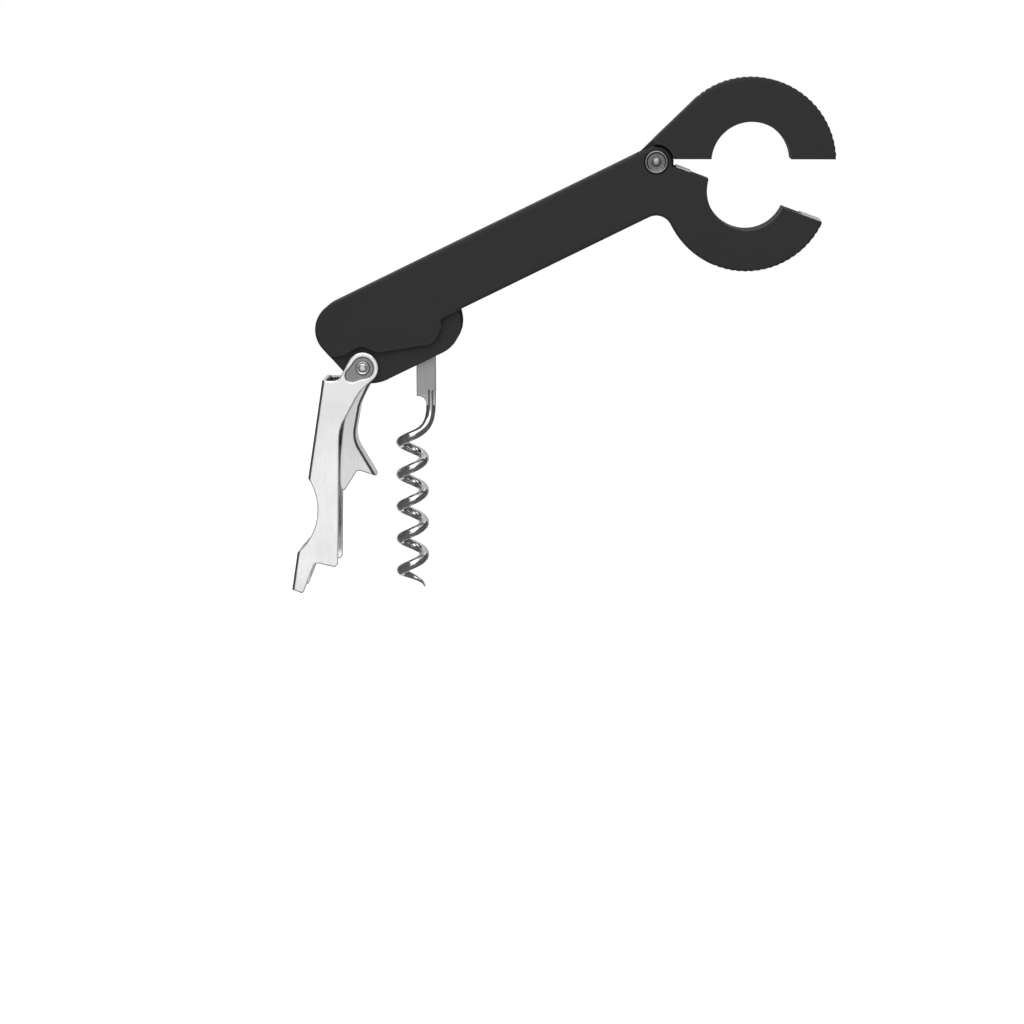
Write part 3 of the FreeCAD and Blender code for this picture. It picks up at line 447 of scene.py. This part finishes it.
class CORKSCREW_OT_steel(Operator):
    """Finishes the frame plates, jaw cores, spacers and pins"""
    bl_idname = "corkscrew.steel"
    bl_label = "Frame steel"

    def execute(self, context):
        colour = context.scene.corkscrew_finishes.satin
        plate = satin_steel("ground_plate", colour, -HANDLE_TILT)
        dress(plate, "front_frame_plate", "back_frame_plate", "fixed_jaw_core", "jaw_core")
        dress(satin_steel("drawn_pin", scaled(colour, 0.9), 0.0, 0.3),
              "frame_spacers", "shell_pins", "worm_pin", "jaw_pins")
        return {"FINISHED"}


class CORKSCREW_OT_levers(Operator):
    """Finishes the two polished channel levers"""
    bl_idname = "corkscrew.levers"
    bl_label = "Levers"

    def execute(self, context):
        colour = context.scene.corkscrew_finishes.sheet
        boot_face, step_face = (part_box(node)[1][1] for node in ("boot_lever", "first_step_lever"))
        boot = polished_sheet("polished_boot", colour, BOOT_LEAN, boot_face)
        step = polished_sheet("polished_step", scaled(colour, 0.77), STEP_LEAN, step_face)
        dress(boot, "boot_lever")
        dress(step, "first_step_lever")
        return {"FINISHED"}


class CORKSCREW_OT_worm(Operator):
    """Finishes the worm"""
    bl_idname = "corkscrew.worm"
    bl_label = "Worm"

    def execute(self, context):
        dress(worm_steel(context.scene.corkscrew_finishes.wire, SHANK_FOOT), "worm")
        return {"FINISHED"}


class CORKSCREW_OT_bushes(Operator):
    """Finishes the nylon bushes and washers"""
    bl_idname = "corkscrew.bushes"
    bl_label = "Nylon bushes"

    def execute(self, context):
        dress(natural_nylon(context.scene.corkscrew_finishes.nylon),
              "worm_bushes", "jaw_washers", "first_step_washers")
        return {"FINISHED"}


class CORKSCREW_OT_lever_rivet(Operator):
    """Turns the lever rivet: a low crown with one ring groove"""
    bl_idname = "corkscrew.lever_rivet"
    bl_label = "Lever rivet"

    def execute(self, context):
        sizes, finishes = context.scene.corkscrew_rivets, context.scene.corkscrew_finishes

        def relief(share):
            """A crown that falls with the square of the share, and a bell-shaped groove."""
            return 0.00018 * share ** 2 + 0.00014 * np.exp(-((share - 0.62) / 0.09) ** 2)

        head = sizes.lever_head
        grid = turned_rivet(LEVER_PIVOT, sizes.lever_reach, head, sizes.lever_shank, relief)
        # Painted reflection: light rings with two dark ones on the head's colour.
        steel = turned_steel("lever_rivet_steel", finishes.rivet, LEVER_PIVOT, 0.2, [
            (0.0, 1.5), (0.30 * head, 1.3), (0.44 * head, 0.55), (0.58 * head, 1.5),
            (0.74 * head, 1.4), (0.86 * head, 0.5), (head, 0.8)])
        rivet = skinned("turned_lever_rivet", grid, steel, "handle")
        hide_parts("lever_rivet")
        return {"FINISHED"}


class CORKSCREW_OT_jaw_rivet(Operator):
    """Turns the jaw rivet: a raised rim, a sunk face and a round bump in its middle"""
    bl_idname = "corkscrew.jaw_rivet"
    bl_label = "Jaw rivet"

    def execute(self, context):
        sizes, finishes = context.scene.corkscrew_rivets, context.scene.corkscrew_finishes

        def relief(share):
            """A level step down inside the rim, filled again by a half-round bump."""
            rim = 1 / (1 + np.exp(-(0.80 - share) / 0.02))
            bump = np.sqrt(np.clip(1 - (share / 0.36) ** 2, 0, 1))
            return 0.00030 * rim * (1 - bump)

        head = sizes.jaw_head
        grid = turned_rivet(JAW_PIVOT, sizes.jaw_reach, head, sizes.jaw_shank, relief)
        # Painted shade and highlight: a light bump and rim, and a dark sunk face and ring.
        steel = turned_steel("jaw_rivet_steel", finishes.rivet, JAW_PIVOT, 0.3, [
            (0.0, 0.80), (0.28 * head, 0.62), (0.38 * head, 0.26), (0.56 * head, 0.34),
            (0.78 * head, 0.36), (0.88 * head, 0.62), (head, 0.40)])
        rivet = skinned("turned_jaw_rivet", grid, steel, "handle")
        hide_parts("jaw_rivet")
        return {"FINISHED"}


# ------------------------------------------------------------------ studio

def panel_mesh(name, corners):
    """One flat four-cornered panel of the stage."""
    mesh = bpy.data.meshes.new(name)
    mesh.from_pydata(corners, [], [(0, 1, 2, 3)])
    piece = bpy.data.objects.new(name, mesh)
    bpy.context.scene.collection.objects.link(piece)
    return piece


def flat_colour(name, value, roughness):
    """A plain matt grey."""
    finish = Finish(name, (value, value, value), 0.0, roughness)
    finish.rough(finish.ranged(finish.noise(6.0), roughness - 0.03, roughness + 0.03))
    return finish


def seen_or_mirrored(tree):
    """One on camera, glossy and transmission rays, and nothing on rays that light the object."""
    ray = tree.nodes.new("ShaderNodeLightPath")
    total = ray.outputs["Is Camera Ray"]
    for kind in ("Is Glossy Ray", "Is Transmission Ray"):
        both = tree.nodes.new("ShaderNodeMath")
        both.operation, both.use_clamp = "ADD", True
        tree.links.new(total, both.inputs[0])
        tree.links.new(ray.outputs[kind], both.inputs[1])
        total = both.outputs[0]
    return total


def whitened(finish, strength):
    """Adds white to a backdrop where it is seen or mirrored; the cast shadow stays under it."""
    finish.shader.inputs["Emission Color"].default_value = (1, 1, 1, 1)
    level = finish.maths("MULTIPLY", seen_or_mirrored(finish.tree), strength)
    finish.join(level, finish.shader.inputs["Emission Strength"])
    return finish


def soft_light(name, spot, aim, size, power, mirrored):
    """A round lamp at a spot, facing its aim, that polished pieces may or may not mirror."""
    lamp = bpy.data.lights.new(name, "AREA")
    lamp.shape, lamp.size, lamp.energy = "DISK", size, power
    holder = bpy.data.objects.new(name, lamp)
    holder.location = spot
    east, north, up = np.array(aim) - np.array(spot)
    holder.rotation_euler = (math.atan2(math.hypot(east, north), -up), 0, -math.atan2(east, north))
    holder.visible_glossy = mirrored
    bpy.context.scene.collection.objects.link(holder)


def level_panel(name, left, right, near, far, height):
    """A panel that lies level."""
    return panel_mesh(name, [(left, near, height), (right, near, height),
                             (right, far, height), (left, far, height)])


def mirrored_cards():
    """Grey cards that only polished pieces see: two sides and a low one dark, the rear one pale."""
    near, far, low, high, beside = -1.0, 0.30, -0.27, 0.45, 0.36
    rear, wide, tall = 0.36, 1.0, 0.60
    dark, pale = 0.14, 0.62
    sides = [panel_mesh(name, [(x, near, low), (x, far, low), (x, far, high), (x, near, high)])
             for name, x in (("left_flag", -beside), ("right_flag", beside))]
    under = level_panel("low_flag", -beside, beside, near, far, low)
    back = panel_mesh("rear_card", [(-wide, rear, low), (wide, rear, low),
                                    (wide, rear, tall), (-wide, rear, tall)])
    for card, shade in ((sides[0], dark), (sides[1], dark), (under, dark), (back, pale)):
        card.data.materials.append(flat_colour(card.name + "_cloth", shade, 0.9).material)
        card.visible_camera = card.visible_diffuse = card.visible_shadow = False


def white_room(scene, fill):
    """Surroundings that are white where they are seen or mirrored, and light the object by fill."""
    world = bpy.data.worlds.new("white_room")
    scene.world = world
    world.use_nodes = True
    nodes, links = world.node_tree.nodes, world.node_tree.links
    level = nodes.new("ShaderNodeMapRange")
    level.inputs["To Min"].default_value = fill
    level.inputs["To Max"].default_value = 1.0
    links.new(seen_or_mirrored(world.node_tree), level.inputs["Value"])
    links.new(level.outputs[0], nodes["Background"].inputs["Strength"])
    nodes["Background"].inputs["Color"].default_value = (1, 1, 1, 1)


class CORKSCREW_OT_studio(Operator):
    """Sets the floor, the white surroundings, the lights and the camera"""
    bl_idname = "corkscrew.studio"
    bl_label = "Studio"

    def execute(self, context):
        scene, studio = context.scene, context.scene.corkscrew_studio
        scene.view_settings.view_transform = "Standard"
        floor = level_panel("floor", -3.0, 3.0, -3.0, 3.0, studio.floor)
        pale = whitened(flat_colour("pale_floor", 0.86, 0.8), studio.glow)
        floor.data.materials.append(pale.material)
        mirrored_cards()
        white_room(scene, studio.fill)
        soft_light("key_light", (-0.12, -0.90, 0.70), (0.03, 0, 0.04), 1.3, studio.key, True)
        soft_light("top_light", (0.25, 0.15, 0.9), (0.05, 0, 0.05), 1.1, studio.key * 0.6, False)
        lens = bpy.data.cameras.new("camera")
        lens.sensor_width = 36.0
        lens.lens = 3374.0 / 1024.0 * lens.sensor_width
        camera = bpy.data.objects.new("camera", lens)
        camera.location = (0.06145, -studio.distance, 0.11186)
        camera.rotation_euler = (math.pi / 2 - studio.pitch, 0, studio.yaw)
        scene.collection.objects.link(camera)
        scene.camera = camera
        return {"FINISHED"}


# ------------------------------------------------------------------ panel

OPERATORS = (
    CORKSCREW_OT_shells, CORKSCREW_OT_steel, CORKSCREW_OT_levers, CORKSCREW_OT_worm,
    CORKSCREW_OT_bushes, CORKSCREW_OT_lever_rivet, CORKSCREW_OT_jaw_rivet, CORKSCREW_OT_studio)


class CORKSCREW_PT_sidebar(Panel):
    """Lists the pieces and their settings"""
    bl_label = "Corkscrew"
    bl_space_type = "VIEW_3D"
    bl_region_type = "UI"
    bl_category = "Corkscrew"

    def draw(self, context):
        for operator in OPERATORS:
            self.layout.operator(operator.bl_idname)
        for group in ("corkscrew_rivets", "corkscrew_finishes", "corkscrew_studio"):
            settings = getattr(context.scene, group)
            box = self.layout.box()
            for name in settings.__annotations__:
                box.prop(settings, name)


CLASSES = (RivetSizes, Finishes, Studio, *OPERATORS, CORKSCREW_PT_sidebar)


def register():
    """Registers the classes and hangs the settings on the scene."""
    for item in CLASSES:
        bpy.utils.register_class(item)
    bpy.types.Scene.corkscrew_rivets = PointerProperty(type=RivetSizes)
    bpy.types.Scene.corkscrew_finishes = PointerProperty(type=Finishes)
    bpy.types.Scene.corkscrew_studio = PointerProperty(type=Studio)


def unregister():
    """Takes the settings and the classes off again."""
    del bpy.types.Scene.corkscrew_studio
    del bpy.types.Scene.corkscrew_finishes
    del bpy.types.Scene.corkscrew_rivets
    for item in reversed(CLASSES):
        bpy.utils.unregister_class(item)


def main():
    """Dresses every piece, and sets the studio."""
    register()
    bpy.ops.corkscrew.shells()
    bpy.ops.corkscrew.steel()
    bpy.ops.corkscrew.levers()
    bpy.ops.corkscrew.worm()
    bpy.ops.corkscrew.bushes()
    bpy.ops.corkscrew.lever_rivet()
    bpy.ops.corkscrew.jaw_rivet()
    bpy.ops.corkscrew.studio()


if __name__ == "__main__":
    main()
